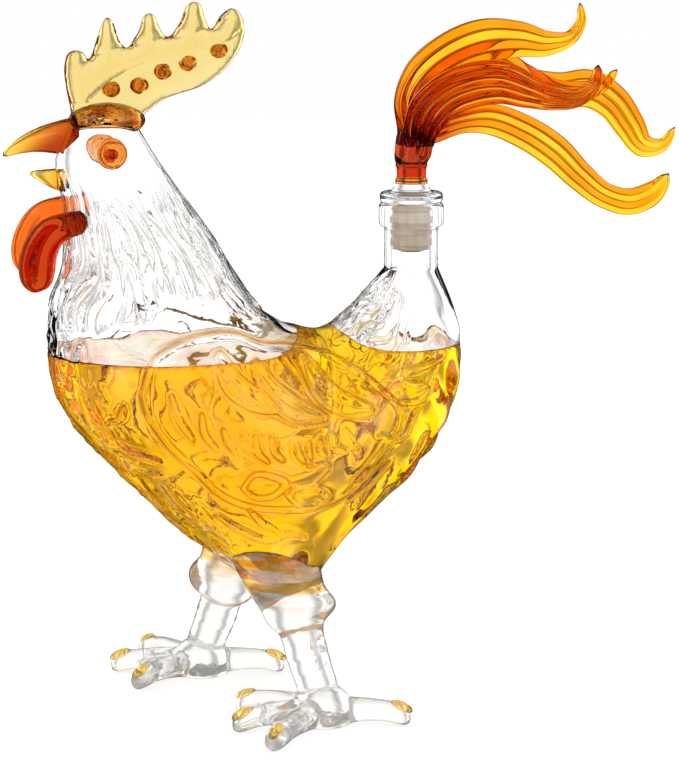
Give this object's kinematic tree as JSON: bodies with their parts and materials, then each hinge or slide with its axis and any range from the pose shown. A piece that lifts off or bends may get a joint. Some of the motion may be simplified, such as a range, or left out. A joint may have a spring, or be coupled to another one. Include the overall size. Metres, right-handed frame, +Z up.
{
  "type": "figural liquor decanter",
  "caption": "Clear blown-glass decanter in the shape of a standing rooster, with coloured glass comb, beak and wattles and a lift-out stopper that carries a plume of tail feathers.",
  "frame": {"origin": "middle of the bounding box, on the surface that the feet stand on", "axes": "+Z up; the beak points towards -X and the rooster's left side faces -Y"},
  "size_m": [0.2786, 0.1525, 0.2806],
  "materials": {
    "clear_glass": "clear fire-polished glass",
    "straw_glass": "pale straw-coloured glass",
    "amber_glass": "amber glass",
    "gold_glass": "golden yellow glass",
    "red_glass": "red-orange glass",
    "maroon_glass": "dark maroon glass",
    "silicone": "translucent silicone rubber"
  },
  "bodies": {
    "decanter": {"head_shell": "clear_glass", "tail_shell": "clear_glass", "left_belly": "clear_glass", "right_belly": "clear_glass", "left_wing": "clear_glass", "right_wing": "clear_glass", "pour_neck": "clear_glass", "comb": "straw_glass", "comb_saddle": "amber_glass", "comb_studs": "amber_glass", "upper_beak": "amber_glass", "lower_beak": "gold_glass", "left_eye": "amber_glass", "right_eye": "amber_glass", "left_pupil": "maroon_glass", "right_pupil": "maroon_glass", "left_wattle": "red_glass", "right_wattle": "red_glass", "left_thigh": "clear_glass", "left_shank": "clear_glass", "left_palm": "clear_glass", "left_toe_inner": "clear_glass", "left_toe_middle": "clear_glass", "left_toe_outer": "clear_glass", "left_toe_rear": "clear_glass", "left_claws": "amber_glass", "right_thigh": "clear_glass", "right_shank": "clear_glass", "right_palm": "clear_glass", "right_toe_inner": "clear_glass", "right_toe_middle": "clear_glass", "right_toe_outer": "clear_glass", "right_toe_rear": "clear_glass", "right_claws": "amber_glass"},
    "sleeve": {"stopper_sleeve": "silicone"},
    "stopper": {"stopper_plug": "clear_glass", "tail_stem": "red_glass", "tail_knot": "maroon_glass", "top_plume": "gold_glass", "near_plume": "red_glass", "low_plume": "gold_glass", "far_plume": "gold_glass", "far_low_plume": "gold_glass"}
  },
  "joints": [
    {"name": "stopper_lift", "type": "slide", "parent": "decanter", "child": "sleeve", "axis": [0, 0, 1], "range_m": [0, 0.05]},
    {"name": "stopper_turn", "type": "hinge", "parent": "sleeve", "child": "stopper", "pos_m": [0.02306, 0, 0.19], "axis": [0, 0, 1], "range_deg": [-130, 130]}
  ]
}
